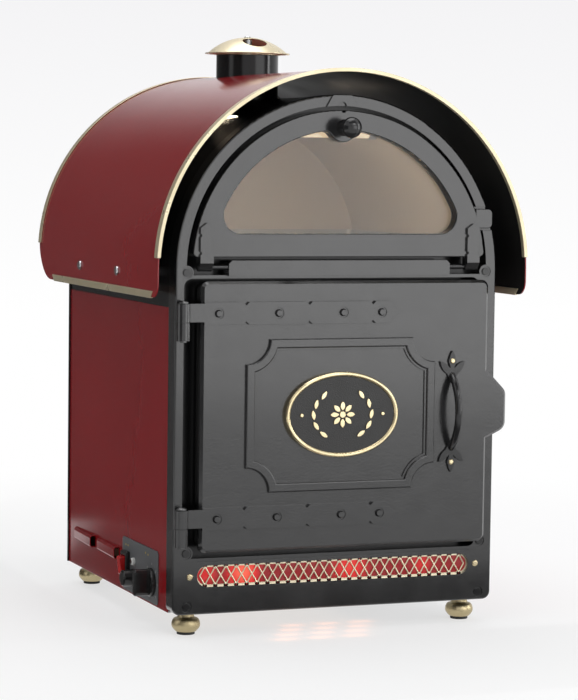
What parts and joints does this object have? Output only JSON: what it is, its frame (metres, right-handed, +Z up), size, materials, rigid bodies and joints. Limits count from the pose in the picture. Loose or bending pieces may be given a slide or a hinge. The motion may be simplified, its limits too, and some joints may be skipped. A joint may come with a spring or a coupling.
{
  "type": "baked potato oven",
  "caption": "Counter-top baked potato oven: cast front with a strap-hinged baking oven under a round-topped glazed warming display, barrel hood with vent chimney.",
  "frame": {"origin": "on the surface the feet stand on, under the middle of the bounding box", "axes": "+Z up, the doors face -Y, +X to the right seen from the front"},
  "size_m": [0.486, 0.5264, 0.735],
  "materials": {
    "red enamel": "gloss",
    "black casting": "satin",
    "black enamel": "gloss",
    "brass": "polished",
    "brass fixings": "satin",
    "bright steel": "polished",
    "sheet steel": "brushed",
    "rack wire": "polished",
    "element sheath": "matt",
    "grey panel": "satin",
    "black plastic": "gloss",
    "red rocker plastic": "translucent gloss",
    "amber lamp plastic": "translucent gloss",
    "red glass": "translucent",
    "lamp glass": "frosted",
    "clear glass": "clear",
    "rubber": "matt",
    "mineral blanket": "matt",
    "magnet": "matt"
  },
  "bodies": {
    "casing": {"base_pan": "sheet steel", "feet": "brass", "foot_pads": "rubber", "left_side_panel": "red enamel", "right_side_panel": "red enamel", "barrel_top": "black enamel", "rear_panel": "black enamel", "rear_brackets": "sheet steel", "rear_screws": "bright steel", "cable_gland": "brass fixings", "hood": "red enamel", "hood_front_trim": "brass", "hood_rear_trim": "brass", "hood_side_trims": "brass", "hood_spacers": "sheet steel", "hood_screws": "bright steel", "chimney_tube": "black enamel", "chimney_spider": "sheet steel", "chimney_cap": "brass", "front_plate": "black casting", "front_plate_bolts": "bright steel", "fret_grille": "brass", "red_lens": "red glass", "grille_screws": "brass fixings", "glow_lamp": "lamp glass", "glow_lamp_holders": "sheet steel", "display_magnet": "magnet", "oven_door_hinge_pins": "bright steel", "display_hinge_pins": "bright steel", "display_lining": "sheet steel", "display_tray": "sheet steel", "display_lamp": "lamp glass", "display_lamp_holders": "sheet steel", "oven_liner": "sheet steel", "insulation": "mineral blanket", "rack_runners": "sheet steel", "wire_rack_lower": "rack wire", "wire_rack_upper": "rack wire", "oven_elements": "element sheath", "control_plate": "grey panel", "thermostat_body": "black plastic", "timer_body": "black plastic", "switch_bezel": "black plastic", "indicator_lamp": "amber lamp plastic"},
    "oven_door": {"oven_door": "black casting", "oven_door_pan": "sheet steel", "oven_door_seal": "rubber", "badge_field": "black enamel", "badge_trim": "brass", "badge_rivets": "brass fixings", "door_handle": "black casting", "handle_screws": "brass fixings"},
    "display_door": {"display_door": "black casting", "display_glass": "clear glass", "glass_retainer": "bright steel", "display_knob": "black casting"},
    "damper": {"chimney_shutter": "brass"},
    "thermostat_dial": {"thermostat_knob": "black plastic"},
    "timer_dial": {"timer_knob": "black plastic"},
    "rocker": {"switch_rocker": "red rocker plastic"}
  },
  "joints": [
    {"name": "oven_door_swing", "type": "hinge", "parent": "casing", "child": "oven_door", "pos_m": [-0.2035, -0.23425, 0.267], "axis": [0, 0, -1], "range_deg": [0, 105]},
    {"name": "display_door_drop", "type": "hinge", "parent": "casing", "child": "display_door", "pos_m": [0, -0.22225, 0.445], "axis": [1, 0, 0], "range_deg": [0, 75]},
    {"name": "damper_turn", "type": "hinge", "parent": "casing", "child": "damper", "pos_m": [0, 0.10875, 0.7105], "axis": [0, 0, 1], "range_deg": [-35, 60]},
    {"name": "thermostat_turn", "type": "hinge", "parent": "casing", "child": "thermostat_dial", "pos_m": [-0.2101, -0.14225, 0.0565], "axis": [-1, 0, 0], "range_deg": [-270, 0]},
    {"name": "timer_turn", "type": "hinge", "parent": "casing", "child": "timer_dial", "pos_m": [-0.2101, -0.07225, 0.051], "axis": [-1, 0, 0], "range_deg": [-270, 0]},
    {"name": "rocker_tilt", "type": "hinge", "parent": "casing", "child": "rocker", "pos_m": [-0.2117, -0.04425, 0.063], "axis": [0, 1, 0], "range_deg": [0, 14]}
  ]
}
